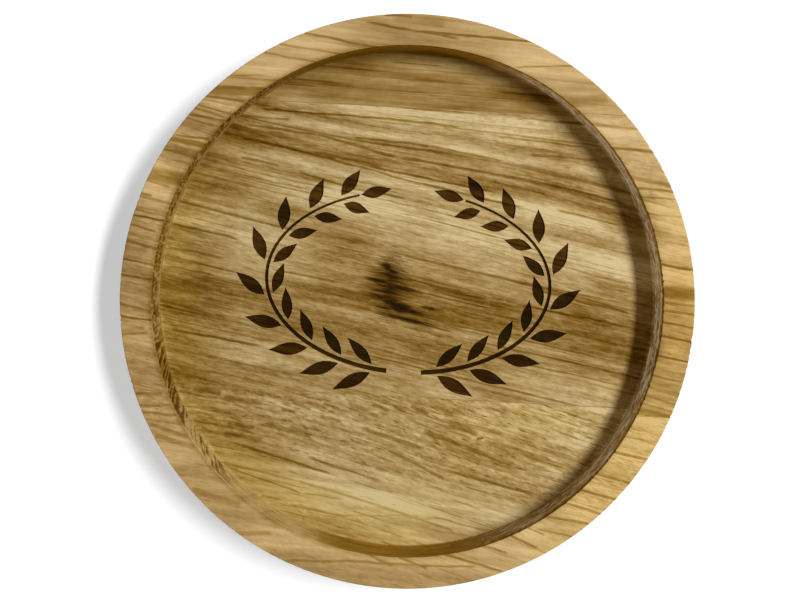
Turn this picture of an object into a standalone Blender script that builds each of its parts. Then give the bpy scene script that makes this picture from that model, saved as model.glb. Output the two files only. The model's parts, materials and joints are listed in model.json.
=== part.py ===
"""Round oak coaster: a recessed disc milled from an edge-glued oak panel.

Three oak staves run along X and are bonded edge to edge by two thin glue films.
The disc stands on Z = 0 with its axis on Z. Every size is in metres.
"""

import math

import bpy

# The finished disc
DIAMETER = 0.100
THICKNESS = 0.010
RIM_WIDTH = 0.0055
RECESS_DEPTH = 0.0055

# Rounded edges: sanding on the outside, the cutter's own corner in the recess
OUTER_EDGE_RADIUS = 0.0003
RECESS_EDGE_RADIUS = 0.0003
RECESS_CORNER_RADIUS = 0.0006

# The panel's two glue joints, as distances from the disc's axis across the staves
UPPER_JOINT_DISTANCE = 0.0342
LOWER_JOINT_DISTANCE = 0.0178
GLUE_FILM_THICKNESS = 0.0001
BOND_CLEARANCE = 0.0001

# How finely round shapes are divided
TURN_STEPS = 144
ARC_STEPS = 3

# Room that a slicing slab has around the disc, and the Screw modifier's weld distance
SLAB_MARGIN = 0.010
AXIS_WELD = 0.00001

# Colour, roughness and metallic value of each finish
FINISHES = {
    "oak_upper": ((0.330, 0.205, 0.080, 1.0), 0.62, 0.0),
    "oak_middle": ((0.355, 0.230, 0.092, 1.0), 0.60, 0.0),
    "oak_lower": ((0.400, 0.270, 0.120, 1.0), 0.60, 0.0),
    "wood_glue": ((0.300, 0.190, 0.075, 1.0), 0.45, 0.0),
}

radius = DIAMETER / 2
recess_radius = radius - RIM_WIDTH
floor_height = THICKNESS - RECESS_DEPTH


def clear_scene():
    for obj in list(bpy.data.objects):
        bpy.data.objects.remove(obj, do_unlink=True)


def new_collection(name):
    collection = bpy.data.collections.new(name)
    bpy.context.scene.collection.children.link(collection)
    return collection


def finish_material(name):
    colour, roughness, metallic = FINISHES[name]
    material = bpy.data.materials.new(name)
    material.use_nodes = True
    shader = material.node_tree.nodes["Principled BSDF"]
    shader.inputs["Base Color"].default_value = colour
    shader.inputs["Roughness"].default_value = roughness
    shader.inputs["Metallic"].default_value = metallic
    material.diffuse_color = colour
    return material


def arc(centre_r, centre_z, size, start_deg, end_deg):
    """Points of a quarter round in the half section, as (distance from the axis, height)."""
    points = []
    for step in range(ARC_STEPS + 1):
        angle = math.radians(start_deg + (end_deg - start_deg) * step / ARC_STEPS)
        points.append((centre_r + size * math.cos(angle), centre_z + size * math.sin(angle)))
    return points


def half_section():
    """The disc's outline, from the middle of the recess over the rim and down to the middle of the base."""
    corner_r = recess_radius - RECESS_CORNER_RADIUS
    corner_z = floor_height + RECESS_CORNER_RADIUS
    brim_r = recess_radius + RECESS_EDGE_RADIUS
    brim_z = THICKNESS - RECESS_EDGE_RADIUS
    edge_r = radius - OUTER_EDGE_RADIUS
    return [
        (0.0, floor_height),
        *arc(corner_r, corner_z, RECESS_CORNER_RADIUS, -90, 0),
        *arc(brim_r, brim_z, RECESS_EDGE_RADIUS, 180, 90),
        *arc(edge_r, THICKNESS - OUTER_EDGE_RADIUS, OUTER_EDGE_RADIUS, 90, 0),
        *arc(edge_r, OUTER_EDGE_RADIUS, OUTER_EDGE_RADIUS, 0, -90),
        (0.0, 0.0),
    ]


def section_mesh():
    points = half_section()
    mesh = bpy.data.meshes.new("disc_section")
    mesh.from_pydata([(r, 0.0, z) for r, z in points], [(i, i + 1) for i in range(len(points) - 1)], [])
    return mesh


def slicing_slab(name, y_low, y_high, cutters):
    """A box that covers the disc along X and Z, and only one piece of the panel along Y."""
    bpy.ops.mesh.primitive_cube_add(size=1.0)
    slab = bpy.context.active_object
    slab.name = name
    length = DIAMETER + 2 * SLAB_MARGIN
    height = THICKNESS + 2 * SLAB_MARGIN
    slab.scale = (length, y_high - y_low, height)
    slab.location = (0.0, (y_low + y_high) / 2, THICKNESS / 2)
    bpy.ops.object.transform_apply(location=True, rotation=False, scale=True)
    for collection in list(slab.users_collection):
        collection.objects.unlink(slab)
    cutters.objects.link(slab)
    slab.hide_render = True
    slab.display_type = "WIRE"
    return slab


def panel_piece(name, finish, section, y_low, y_high, parts, cutters):
    """One piece of the panel: the whole turned disc, kept only between two planes square to Y."""
    piece = bpy.data.objects.new(name, section)
    parts.objects.link(piece)
    turn = piece.modifiers.new("turn", "SCREW")
    turn.axis = "Z"
    turn.angle = math.tau
    turn.steps = TURN_STEPS
    turn.render_steps = TURN_STEPS
    turn.use_merge_vertices = True
    turn.merge_threshold = AXIS_WELD
    turn.use_smooth_shade = True
    keep = piece.modifiers.new("keep", "BOOLEAN")
    keep.operation = "INTERSECT"
    keep.object = slicing_slab(name + "_slab", y_low, y_high, cutters)
    piece.modifiers.new("flat_faces_look_flat", "WEIGHTED_NORMAL")
    piece.material_slots[0].link = "OBJECT"
    piece.material_slots[0].material = finish_material(finish)
    return piece


def main():
    clear_scene()
    parts = new_collection("oak_coaster")
    cutters = new_collection("cutters")
    section = section_mesh()
    section.materials.append(None)

    film = GLUE_FILM_THICKNESS / 2
    bond = film + BOND_CLEARANCE
    outside = radius + SLAB_MARGIN
    upper = UPPER_JOINT_DISTANCE
    lower = -LOWER_JOINT_DISTANCE
    panel = [
        ("upper_stave", "oak_upper", upper + bond, outside),
        ("upper_glue_line", "wood_glue", upper - film, upper + film),
        ("middle_stave", "oak_middle", lower + bond, upper - bond),
        ("lower_glue_line", "wood_glue", lower - film, lower + film),
        ("lower_stave", "oak_lower", -outside, lower - bond),
    ]
    for name, finish, y_low, y_high in panel:
        panel_piece(name, finish, section, y_low, y_high, parts, cutters)


main()
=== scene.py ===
import json
import math

import bmesh
import bpy
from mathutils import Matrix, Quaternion, Vector, noise


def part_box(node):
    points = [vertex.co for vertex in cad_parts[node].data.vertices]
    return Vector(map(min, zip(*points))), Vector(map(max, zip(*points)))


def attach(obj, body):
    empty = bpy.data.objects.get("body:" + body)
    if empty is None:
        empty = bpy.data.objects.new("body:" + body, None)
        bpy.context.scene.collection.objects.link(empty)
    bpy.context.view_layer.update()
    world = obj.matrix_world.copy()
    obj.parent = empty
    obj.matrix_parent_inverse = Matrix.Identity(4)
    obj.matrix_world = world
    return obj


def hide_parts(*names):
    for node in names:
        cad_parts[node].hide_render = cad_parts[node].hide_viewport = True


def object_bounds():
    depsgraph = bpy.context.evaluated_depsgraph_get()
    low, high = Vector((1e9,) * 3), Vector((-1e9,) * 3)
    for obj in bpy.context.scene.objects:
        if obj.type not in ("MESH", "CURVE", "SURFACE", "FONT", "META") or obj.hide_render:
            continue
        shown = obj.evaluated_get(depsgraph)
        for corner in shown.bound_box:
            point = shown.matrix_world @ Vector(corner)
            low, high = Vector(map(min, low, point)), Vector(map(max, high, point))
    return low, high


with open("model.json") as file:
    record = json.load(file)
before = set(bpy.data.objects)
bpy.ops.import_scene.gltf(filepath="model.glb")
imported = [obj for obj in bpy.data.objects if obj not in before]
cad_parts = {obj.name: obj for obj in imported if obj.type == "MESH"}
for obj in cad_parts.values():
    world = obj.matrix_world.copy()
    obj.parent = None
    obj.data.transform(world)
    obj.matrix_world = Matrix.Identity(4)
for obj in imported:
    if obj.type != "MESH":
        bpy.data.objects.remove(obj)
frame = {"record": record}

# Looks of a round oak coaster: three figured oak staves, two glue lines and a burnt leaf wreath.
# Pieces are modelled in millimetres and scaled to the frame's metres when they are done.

MM = 0.001

# Sizes and places taken from the frame, in millimetres
cad_low, cad_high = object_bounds()
disc_radius = (cad_high.x - cad_low.x) / 2 / MM
disc_height = cad_high.z / MM
seat = next(mount for mount in frame["record"]["mounts"] if mount["name"] == "glass_seat")
floor_height = seat["pos_m"][2] / MM
upper_joint = sum(corner[1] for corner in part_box("upper_glue_line")) / 2 / MM
lower_joint = sum(corner[1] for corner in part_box("lower_glue_line")) / 2 / MM

# The disc's finish: its rim and eased edges, and how finely its round and its wall are divided
RIM_WIDTH = 5.5
OUTER_EASE = 0.28
BRIM_EASE = 0.1
CORNER_EASE = 0.4
EASE_STEPS = 4
BRIM_EASE_STEPS = 3
WALL_ROWS = 24
ROUND_STEPS = 1800
recess_radius = disc_radius - RIM_WIDTH
recess_depth = disc_height - floor_height

# How close two places count as one, and what makes a face flat, or flat and part of a joint
SAME_PLACE = 0.02
FLAT = 0.999
LEAST_JOINT_AREA = 10

# Half the width of a glue line, and the hair of air beside it
GLUE_HALF = 0.05
GLUE_AIR = 0.004

# Chips broken out of the edges where the fibres end
CHIP_DEPTH = 0.28
BRIM_CHIP_DEPTH = 0.30
CHIP_WIDTH = 0.45
CHIP_LENGTH = 1.8
CHIP_SLANT = 0.15
CHIP_START = 0.12
CHIP_SEED = 3.1

# The wall of the recess, torn where the cutter met the ends of the fibres
PIT_DEPTH = 0.30
FRINGE_DEPTH = 0.10
TEAR_LENGTH = 1.35
FINE_TEAR_LENGTH = 0.7
TEAR_LEAN = 3.4
UPPER_LEFT_TEAR_LEAN = 1.53
PIT_LENGTH = 1.0
PIT_SEED = 11
PIT_ROWS = 2.3
ROW_DRIFT = 0.8
ROW_DRIFT_LENGTH = 7.0
# The band of painted shade under the brim: how far its lower edge wavers, and the length of its waves
BROW_WAVER = 0.10
BROW_LENGTH = 0.7

# Loose strands on the wall: share of the full length, thickness, and change from the foot to the brim
STRAND_LENGTH = 8.0
STRAND_SEED = 7.0
STRANDS = ((1.0, 0.12, 6.5), (0.55, 0.11, 9.0), (0.3, 0.10, 11.0))

# The burnt wreath on the floor of the recess, clear of both joints
WREATH_CENTRE = (0.0, 2.9)
WREATH_HALF_LENGTH = 25.5
WREATH_HALF_WIDTH = 16.3
WREATH_GAP_BELOW = 7.0
WREATH_GAP_ABOVE = 22.0
OVAL_STEPS = 400
LEAF_PAIRS = 9
FIRST_LEAF_SHARE = 0.45
LEAF_LENGTH = 7.6
LEAF_TIP_LENGTH = 5.6
LEAF_WIDTH = 2.3
LEAF_TIP_WIDTH = 2.07
LEAF_LEAN = 36.0
LEAF_STEPS = 10
INNER_LEAF_SHARE = 0.86
STEM_WIDTH = 0.85
STEM_TAPER = 0.55
STEM_STEPS = 60
STEM_GAP = 0.35
BURN_DEPTH = 0.30

# The photograph's frame and the camera that takes it in
FRAME_WIDTH_PX = 800
FOCAL_PX = 875
DISC_RADIUS_PX = 288.0
NADIR_PX = (7.35, 95.7)
CAMERA_OFFSET = 16.85
DISC_TURN = 3.0
SENSOR_WIDTH = 36.0
NEAREST_SEEN = 0.005

# Light: a wide soft lamp from the right, a white card on the left, and an even fill
LAMPS = {
    "key": {
        "bearing": 18.0, "from_zenith": 37.9, "distance": 1.1, "width": 0.62, "height": 0.18, "roll": -20.0,
        "watts": 12.95, "colour": (0.96, 0.975, 1.01),
    },
    "card": {
        "bearing": 200.0, "from_zenith": 84.0, "distance": 0.6, "width": 0.50, "height": 0.10, "roll": 0.0,
        "watts": 1.6, "colour": (1.0, 0.93, 0.82),
    },
}
FILL_COLOUR = (1.0, 0.79, 0.34, 1.0)
FILL_STRENGTH = 0.14

# The pale floor, in metres: its size, its greys and glow, and where it runs out to white
FLOOR_RADIUS = 4.0
FLOOR_SIDES = 96
BOUNCE_GREY = (0.8, 0.8, 0.8, 1.0)
PAPER_GREY = (0.72, 0.72, 0.72, 1.0)
PAPER_GLOW = (0.92, 0.99, 1.10, 1.0)
GLOW_STRENGTH = 0.44
WHITE_FROM = 0.09
WHITE_BEYOND = 0.30
WHITE = (1.0, 1.0, 1.0, 1.0)


def srgb(red, green, blue):
    """A colour given in screen values from 0 to 255, as the linear colour that shaders take."""
    def linear(value):
        value /= 255
        return value / 12.92 if value <= 0.04045 else ((value + 0.055) / 1.055) ** 2.4
    return (linear(red), linear(green), linear(blue), 1.0)


# Selecting and editing

def deselect_all():
    if bpy.context.mode != "OBJECT":
        bpy.ops.object.mode_set(mode="OBJECT")
    bpy.ops.object.select_all(action="DESELECT")


def make_active(obj):
    deselect_all()
    obj.select_set(True)
    bpy.context.view_layer.objects.active = obj


def pick(obj, kind, test):
    """In edit mode, selects the faces or edges that pass a test and no others."""
    bpy.ops.mesh.select_mode(type=kind)
    bpy.ops.mesh.select_all(action="DESELECT")
    mesh = bmesh.from_edit_mesh(obj.data)
    for part in mesh.faces if kind == "FACE" else mesh.edges:
        if test(part):
            part.select_set(True)
    bmesh.update_edit_mesh(obj.data)


def ease_circle(obj, circle_radius, height, width, steps):
    """Rounds the edge that runs in a level circle about the disc's axis."""
    def on_circle(edge):
        return all(
            abs(end.co.xy.length - circle_radius) < SAME_PLACE and abs(end.co.z - height) < SAME_PLACE
            for end in edge.verts
        )
    pick(obj, "EDGE", on_circle)
    bpy.ops.mesh.bevel(offset=width, segments=steps, affect="EDGES")


def up_the_wall(edge):
    """Whether an edge stands upright in the wall of the recess."""
    along = edge.verts[1].co - edge.verts[0].co
    inside = edge.verts[0].co.xy.length < recess_radius + BRIM_EASE
    return inside and abs(along.z) > recess_depth / 2 and along.xy.length < SAME_PLACE


# The disc and its staves

def milled_blank():
    """The whole disc in one mesh, with its recess milled out, its edges eased and its wall torn."""
    deselect_all()
    bpy.ops.mesh.primitive_cylinder_add(
        vertices=ROUND_STEPS, radius=disc_radius, depth=disc_height, location=(0, 0, disc_height / 2)
    )
    blank = bpy.context.active_object
    bpy.ops.object.transform_apply(location=True, rotation=True, scale=True)
    bpy.ops.object.mode_set(mode="EDIT")
    pick(blank, "FACE", lambda face: face.normal.z > FLAT)
    bpy.ops.mesh.inset(thickness=RIM_WIDTH)
    bpy.ops.mesh.extrude_region_move(TRANSFORM_OT_translate={"value": (0, 0, -recess_depth)})
    ease_circle(blank, disc_radius, disc_height, OUTER_EASE, EASE_STEPS)
    ease_circle(blank, disc_radius, 0.0, OUTER_EASE, EASE_STEPS)
    ease_circle(blank, recess_radius, disc_height, BRIM_EASE, BRIM_EASE_STEPS)
    ease_circle(blank, recess_radius, floor_height, CORNER_EASE, EASE_STEPS)
    pick(blank, "EDGE", up_the_wall)
    bpy.ops.mesh.subdivide(number_cuts=WALL_ROWS - 1)
    bpy.ops.object.mode_set(mode="OBJECT")
    tear_end_grain(blank)
    return blank


def ramp(value, low, high):
    """How far a value has come from low to high, held between 0 and 1 and eased at both ends."""
    share = max(0.0, min(1.0, (value - low) / (high - low)))
    return share * share * (3 - 2 * share)


def wall_noise(along, length, rise=0.0):
    """Noise from -1 to 1 along the wall, in blots of a given length. It changes as rise does."""
    return noise.noise(along / length + Vector((0, 0, rise)))


def torn_against(out, along, level):
    """The wall where the cutter ran against the fibres: rows of pits, with thin pale fibres across them."""
    ranked = ramp(out.y, -0.4, 0.0)
    tear = wall_noise(along, TEAR_LENGTH, 0.5 * level) * (1 - ranked)
    tear += wall_noise(along, FINE_TEAR_LENGTH, 1.5 * level) * ranked
    fibre = ramp(abs(tear), 0.11 + 0.07 * ranked, 0.03)
    row = PIT_ROWS * level + ROW_DRIFT * wall_noise(along, ROW_DRIFT_LENGTH)
    rows = 1 - 0.4 * ranked * (1 - math.cos(math.tau * row))
    depth = ramp(level, 0.10 * ranked, 0.12 + 0.22 * ranked) * ramp(level, 0.97, 0.82) * rows
    pit = depth * ramp(wall_noise(along, PIT_LENGTH, PIT_SEED + 2 * level), -0.45, 0.10)
    foot = ramp(level, 0.42, 0.12) * ranked
    return 0.10 + fibre * 0.7 + foot * 0.6 - pit * (1 - fibre) * (1.3 - 0.6 * ranked)


def torn_along(out, along, level, under_brim_shade):
    """The wall where the cutter ran with the fibres: long loose strands, under a dark band of painted shade
    just below the brim.
    """
    coarse = 0.6 * ramp(-out.y, 0.2, 0.6)
    hair = 0.0
    for share, thickness, rise in STRANDS:
        strand = wall_noise(along, STRAND_LENGTH * share, STRAND_SEED / share + rise * level)
        weight = (0.4 + 0.6 * share) * (1 - coarse * (1 - share))
        hair = max(hair, ramp(abs(strand), thickness, 0.02) * weight)
    return (0.15 + 0.85 * hair) * (1 - under_brim_shade) - under_brim_shade * 0.6


def wall_tear(spot):
    """How the milled wall is torn at a spot: below 0 in pits and in the band of painted shade under the
    brim, above 0 on loose fibres.
    """
    out = Vector((spot.x, spot.y, 0.0)).normalized()
    level = (spot.z - floor_height) / recess_depth
    side = math.atan2(out.y, out.x)
    lean = UPPER_LEFT_TEAR_LEAN if out.y >= 0 and out.x <= 0 else TEAR_LEAN
    side -= lean * math.sin(2 * side) * (level - 0.5) / recess_radius
    along = Vector((math.cos(side), math.sin(side), 0.0)) * recess_radius
    # Where the painted shade under the brim lies, from 0 below it up to 1
    under_brim_shade = ramp(level + BROW_WAVER * wall_noise(along, BROW_LENGTH), 0.80, 0.94)

    # Shares of the three kinds of wall: left and right, and the far side between them; the right and far
    # sides darken under the brim with painted shade
    upper = ramp(out.y, -0.2, 0.3)
    left = ramp(-out.x, 0.60 - 0.25 * upper, 0.84 - 0.16 * upper)
    right = ramp(out.x, 0.20, 0.50)
    far = ramp(out.y, 0.2, 0.7) * (1 - max(left, right))
    torn = torn_against(out, along, level) * left + torn_along(out, along, level, under_brim_shade) * right
    return max(-1.0, min(1.0, torn - far * under_brim_shade * 0.7))


def on_wall(spot):
    """Whether a spot lies on the recess wall, between the eased corner and the eased brim."""
    level = floor_height + 0.9 * CORNER_EASE < spot.z < disc_height - 0.9 * BRIM_EASE
    return level and abs(spot.xy.length - recess_radius) < PIT_DEPTH + FRINGE_DEPTH


def tear_end_grain(blank):
    """Breaks small chips out of the edges where the fibres end, and tears the milled wall there."""
    reach = 5 * OUTER_EASE
    for vertex in blank.data.vertices:
        spot = vertex.co.copy()
        out = Vector((spot.x, spot.y, 0.0)).normalized()
        if on_wall(spot):
            tear = wall_tear(spot)
            vertex.co -= out * tear * (FRINGE_DEPTH if tear > 0 else PIT_DEPTH)
            continue
        across = spot.y + CHIP_SLANT * spot.x
        chip = noise.noise(Vector((across / CHIP_WIDTH, spot.x / CHIP_LENGTH, CHIP_SEED)))
        chip = max(0.0, chip - CHIP_START) * abs(out.x) ** 1.5
        top_edge = max(0.0, 1 - (disc_height - spot.z) / reach)
        foot_edge = max(0.0, 1 - spot.z / reach)
        if spot.xy.length > disc_radius - 1.2 * OUTER_EASE:
            vertex.co -= out * chip * CHIP_DEPTH * max(top_edge, foot_edge)
        elif abs(spot.xy.length - recess_radius) < 1.2 * BRIM_EASE:
            vertex.co += out * chip * BRIM_CHIP_DEPTH * top_edge


def panel_piece(blank, name, y_low, y_high):
    """The part of the disc between two planes square to Y, as a closed piece of its own."""
    piece = blank.copy()
    piece.data = blank.data.copy()
    piece.name = name
    bpy.context.collection.objects.link(piece)
    make_active(piece)
    bpy.ops.object.mode_set(mode="EDIT")
    for plane_y, side in ((y_high, "clear_outer"), (y_low, "clear_inner")):
        if abs(plane_y) < disc_radius:
            bpy.ops.mesh.select_all(action="SELECT")
            bpy.ops.mesh.bisect(
                plane_co=(0, plane_y, 0), plane_no=(0, 1, 0), use_fill=True, **{side: True}
            )
    bpy.ops.object.mode_set(mode="OBJECT")
    return piece


def shade_round_faces(piece):
    """Shades the turned sides and eased edges smooth, and leaves every flat face flat."""
    for face in piece.data.polygons:
        level = abs(face.normal.z) > FLAT
        glued = abs(face.normal.y) > FLAT and face.area > LEAST_JOINT_AREA
        face.use_smooth = not (level or glued)


# The burnt wreath

def step_from(spot, heading, distance):
    """The place at a distance from a spot along a heading."""
    return spot[0] + distance * math.cos(heading), spot[1] + distance * math.sin(heading)


def leaf_outline(base, heading, length, width):
    """A pointed leaf whose sides swell most a little below its middle."""
    sides = ([], [])
    for step in range(LEAF_STEPS + 1):
        share = step / LEAF_STEPS
        swell = width / 2 * math.sin(math.pi * share ** 0.85) ** 1.15
        middle = step_from(base, heading, share * length)
        for side, turn in zip(sides, (math.pi / 2, -math.pi / 2)):
            side.append(step_from(middle, heading + turn, swell))
    return sides[0] + sides[1][-2:0:-1]


def sprig_point(turn):
    """A point of the right-hand stem, with turn in degrees from the wreath's foot."""
    angle = math.radians(turn - 90)
    return (
        WREATH_CENTRE[0] + WREATH_HALF_LENGTH * math.cos(angle),
        WREATH_CENTRE[1] + WREATH_HALF_WIDTH * math.sin(angle),
    )


def sprig_heading(turn):
    angle = math.radians(turn - 90)
    return math.atan2(WREATH_HALF_WIDTH * math.cos(angle), -WREATH_HALF_LENGTH * math.sin(angle))


def stem_at(share):
    """The point and the heading at an even share of the way along the stem, which is part of an oval."""
    first, last = WREATH_GAP_BELOW, 180 - WREATH_GAP_ABOVE
    turns = [first + (last - first) * step / OVAL_STEPS for step in range(OVAL_STEPS + 1)]
    run = [0.0]
    for before, after in zip(turns, turns[1:]):
        run.append(run[-1] + math.dist(sprig_point(before), sprig_point(after)))
    target = share * run[-1]
    turn = next(turn for turn, length in zip(turns, run) if length >= target - 1e-9)
    return sprig_point(turn), sprig_heading(turn)


def sprig_outlines():
    """The right-hand sprig: a tapering stem, pairs of leaves along it and one leaf at its tip."""
    right_side = []
    left_side = []
    for step in range(STEM_STEPS + 1):
        share = step / STEM_STEPS
        spot, heading = stem_at(share)
        half = STEM_WIDTH / 2 * (1 - STEM_TAPER * share)
        right_side.append(step_from(spot, heading + math.pi / 2, half))
        left_side.append(step_from(spot, heading + math.pi / 2, -half))
    outlines = [right_side + left_side[::-1]]
    for pair in range(LEAF_PAIRS):
        share = (pair + FIRST_LEAF_SHARE) / LEAF_PAIRS
        spot, heading = stem_at(share)
        length = LEAF_LENGTH + (LEAF_TIP_LENGTH - LEAF_LENGTH) * share
        for side, size in ((1, INNER_LEAF_SHARE), (-1, 1.0)):
            base = step_from(spot, heading + side * math.pi / 2, STEM_WIDTH / 2 + STEM_GAP)
            lean = side * math.radians(LEAF_LEAN)
            outlines.append(leaf_outline(base, heading + lean, length * size, LEAF_WIDTH * size))
    spot, heading = stem_at(1.0)
    base = step_from(spot, heading, STEM_GAP)
    outlines.append(leaf_outline(base, heading, LEAF_TIP_LENGTH, LEAF_TIP_WIDTH))
    return outlines


def add_outline(curve, points):
    """A closed straight-sided outline in a flat curve."""
    spline = curve.splines.new("POLY")
    spline.points.add(len(points) - 1)
    for spot, (x, y) in zip(spline.points, points):
        spot.co = (x, y, 0.0, 1.0)
    spline.use_cyclic_u = True


def wreath_cutter():
    """A solid of the wreath's shape that reaches from the burn's depth to above the floor."""
    deselect_all()
    curve = bpy.data.curves.new("wreath", "CURVE")
    curve.dimensions = "2D"
    curve.fill_mode = "BOTH"
    curve.extrude = BURN_DEPTH
    for outline in sprig_outlines():
        add_outline(curve, outline)
        add_outline(curve, [(2 * WREATH_CENTRE[0] - x, y) for x, y in outline])
    cutter = bpy.data.objects.new("wreath", curve)
    bpy.context.collection.objects.link(cutter)
    cutter.location.z = floor_height
    make_active(cutter)
    bpy.ops.object.convert(target="MESH")
    cutter = bpy.context.active_object
    bpy.ops.object.transform_apply(location=True, rotation=True, scale=True)
    bpy.ops.object.mode_set(mode="EDIT")
    bpy.ops.mesh.select_all(action="SELECT")
    bpy.ops.mesh.remove_doubles(threshold=0.001)
    bpy.ops.mesh.normals_make_consistent(inside=False)
    bpy.ops.object.mode_set(mode="OBJECT")
    return cutter


def burn_wreath(stave, cutter):
    make_active(stave)
    cut = stave.modifiers.new("burn", "BOOLEAN")
    cut.operation = "DIFFERENCE"
    cut.object = cutter
    bpy.ops.object.modifier_apply(modifier=cut.name)


# Writing shader nodes

def arithmetic(operation, swapped=False):
    """A method of Wire that adds a Math node, with the wire as its first value or, if swapped, its last."""
    def method(self, *others):
        values = (*others, self) if swapped else (self, *others)
        return calc(self.tree, operation, *values)
    return method


class Wire:
    """One output of a shader node. Arithmetic on wires adds Math nodes."""

    def __init__(self, tree, socket):
        self.tree = tree
        self.socket = socket

    def clamped(self):
        return calc(self.tree, "ADD", self, 0.0, use_clamp=True)

    __add__ = arithmetic("ADD")
    __radd__ = arithmetic("ADD", swapped=True)
    __sub__ = arithmetic("SUBTRACT")
    __rsub__ = arithmetic("SUBTRACT", swapped=True)
    __mul__ = arithmetic("MULTIPLY")
    __truediv__ = arithmetic("DIVIDE")
    __pow__ = arithmetic("POWER")
    __abs__ = arithmetic("ABSOLUTE")
    floor = arithmetic("FLOOR")
    or_less = arithmetic("MINIMUM")
    or_more = arithmetic("MAXIMUM")


def feed(tree, socket, value):
    """Links a wire to a socket, or sets the socket to a plain value."""
    if isinstance(value, Wire):
        tree.links.new(value.socket, socket)
    else:
        socket.default_value = value


def add_node(tree, kind, inputs=(), **settings):
    """A new shader node with its settings, and with wires or plain values on its sockets."""
    node = tree.nodes.new("ShaderNode" + kind)
    for name, value in settings.items():
        setattr(node, name, value)
    for socket, value in dict(inputs).items():
        feed(tree, node.inputs[socket], value)
    return node


def wire(tree, kind, output, inputs=(), **settings):
    """One output of a new shader node."""
    return Wire(tree, add_node(tree, kind, inputs, **settings).outputs[output])


def calc(tree, operation, *values, use_clamp=False):
    return wire(tree, "Math", 0, enumerate(values), operation=operation, use_clamp=use_clamp)


def spread(value, low, high, new_low=0.0, new_high=1.0, shape="SMOOTHSTEP"):
    """Maps one range of a wire onto another, held at both ends."""
    names = ("Value", "From Min", "From Max", "To Min", "To Max")
    inputs = zip(names, (value, low, high, new_low, new_high))
    return wire(value.tree, "MapRange", "Result", inputs, interpolation_type=shape)


def vector(tree, x, y, z):
    return wire(tree, "CombineXYZ", 0, enumerate((x, y, z)))


def split(spot):
    """The x, y and z of a vector."""
    node = add_node(spot.tree, "SeparateXYZ", {0: spot})
    return [Wire(spot.tree, output) for output in node.outputs]


def cloud(tree, x, y, z, detail=2.0, roughness=0.5):
    """Soft noise from 0 to 1, where x, y and z are already divided by the size of its blots."""
    inputs = {"Vector": vector(tree, x, y, z), "Scale": 1.0, "Detail": detail, "Roughness": roughness}
    return wire(tree, "TexNoise", "Fac", inputs)


def steer(spot, operation, *values):
    """A Vector Math node on a wire. A dot product or a length gives one number, the others a vector."""
    output = "Value" if operation in ("DOT_PRODUCT", "LENGTH") else "Vector"
    return wire(spot.tree, "VectorMath", output, enumerate((spot, *values)), operation=operation)


def dice(value, seed):
    """An even random number for each whole number."""
    return wire(value.tree, "TexWhiteNoise", "Value", {"W": value + seed}, noise_dimensions="1D")


def tint(factor, stops):
    """A colour ramp of (place, colour) stops."""
    node = add_node(factor.tree, "ValToRGB", {"Fac": factor})
    elements = node.color_ramp.elements
    while len(elements) < len(stops):
        elements.new(0.5)
    for element, (place, colour) in zip(elements, stops):
        element.position = place
        element.color = colour
    return Wire(factor.tree, node.outputs["Color"])


def mix_colours(tree, blend_type, factor, first, second):
    inputs = {"Factor": factor, "A": first, "B": second}
    return wire(tree, "Mix", "Result", inputs, data_type="RGBA", blend_type=blend_type)


def blend(factor, first, second):
    """Lays a second colour over a first. Either may be a wire or a plain colour."""
    return mix_colours(factor.tree, "MIX", factor, first, second)


def multiply(colour, red, green, blue):
    """Multiplies each channel of a colour by its own wire."""
    shade = wire(colour.tree, "CombineColor", "Color", enumerate((red, green, blue)))
    return mix_colours(colour.tree, "MULTIPLY", 1.0, colour, shade)


def darken(colour, amount):
    """Multiplies a colour by one minus an amount."""
    left = 1.0 - amount
    return multiply(colour, left, left, left)


def soak(colour, stain, amount):
    """Darkens a colour as a stain soaks in. Amount 1 multiplies it by the stain's own colour."""
    return multiply(colour, *(calc(colour.tree, "POWER", part, amount) for part in stain))


# The oak's colours

SANDED_TONES = (
    (0.00, srgb(86, 52, 8)),
    (0.25, srgb(132, 99, 48)),
    (0.50, srgb(165, 134, 85)),
    (0.75, srgb(195, 164, 111)),
    (1.00, srgb(221, 191, 140)),
)
MILLED_TONES = (
    (0.00, srgb(78, 52, 4)),
    (0.25, srgb(122, 89, 24)),
    (0.50, srgb(158, 128, 74)),
    (0.75, srgb(188, 162, 112)),
    (1.00, srgb(216, 195, 149)),
)
BURNT_TONES = ((0.20, srgb(26, 15, 2)), (0.60, srgb(48, 30, 5)), (1.00, srgb(82, 55, 16)))
WALL_TONES = ((0.35, srgb(125, 89, 10)), (0.65, srgb(168, 128, 36)))
TORN_TONES = ((0.0, srgb(178, 148, 98)), (1.0, srgb(216, 207, 192)))
GLUE_TONES = ((0.3, srgb(142, 110, 56)), (0.7, srgb(176, 145, 88)))
# A pale fuzz that is partly painted light, laid only where the wall faces the lamp
PALE_FUZZ_AND_PAINTED_LIGHT = srgb(226, 200, 136)
STAIN_COLOUR = srgb(88, 60, 8)
KNOT_HALO = srgb(90, 63, 14)
KNOT_BROWN = srgb(50, 30, 2)
KNOT_BLACK = srgb(30, 20, 3)

# Stains that soak in, and painted shade and painted warm bounce light that soak in the same way, as the
# share of red, green and blue that they leave
LINE_STAIN = (0.36, 0.27, 0.09)
AMBER_STAIN_AND_WARM_BOUNCE = (1.0, 0.975, 0.68)
BRIM_STAIN = (0.72, 0.66, 0.50)
# Painted shade in the floor's corner along the wall at the upper left
PAINTED_CORNER_SHADE = (0.66, 0.60, 0.42)
WARM_STAIN = (1.02, 0.95, 0.88)
# Pits soak this dark, and so does the band of painted shade under the brim
PIT_STAIN_AND_BRIM_SHADE = (0.32, 0.25, 0.12)
END_GRAIN_SHADE = 0.35

# Directions in which stains and light lie
LOWER_LEFT = (-0.8, -0.6)
UPPER_LEFT = (-0.45, 0.89)
FAR_RIGHT = (1.0, -0.3)
LIT_SIDE = (-0.64, -0.77)
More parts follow.
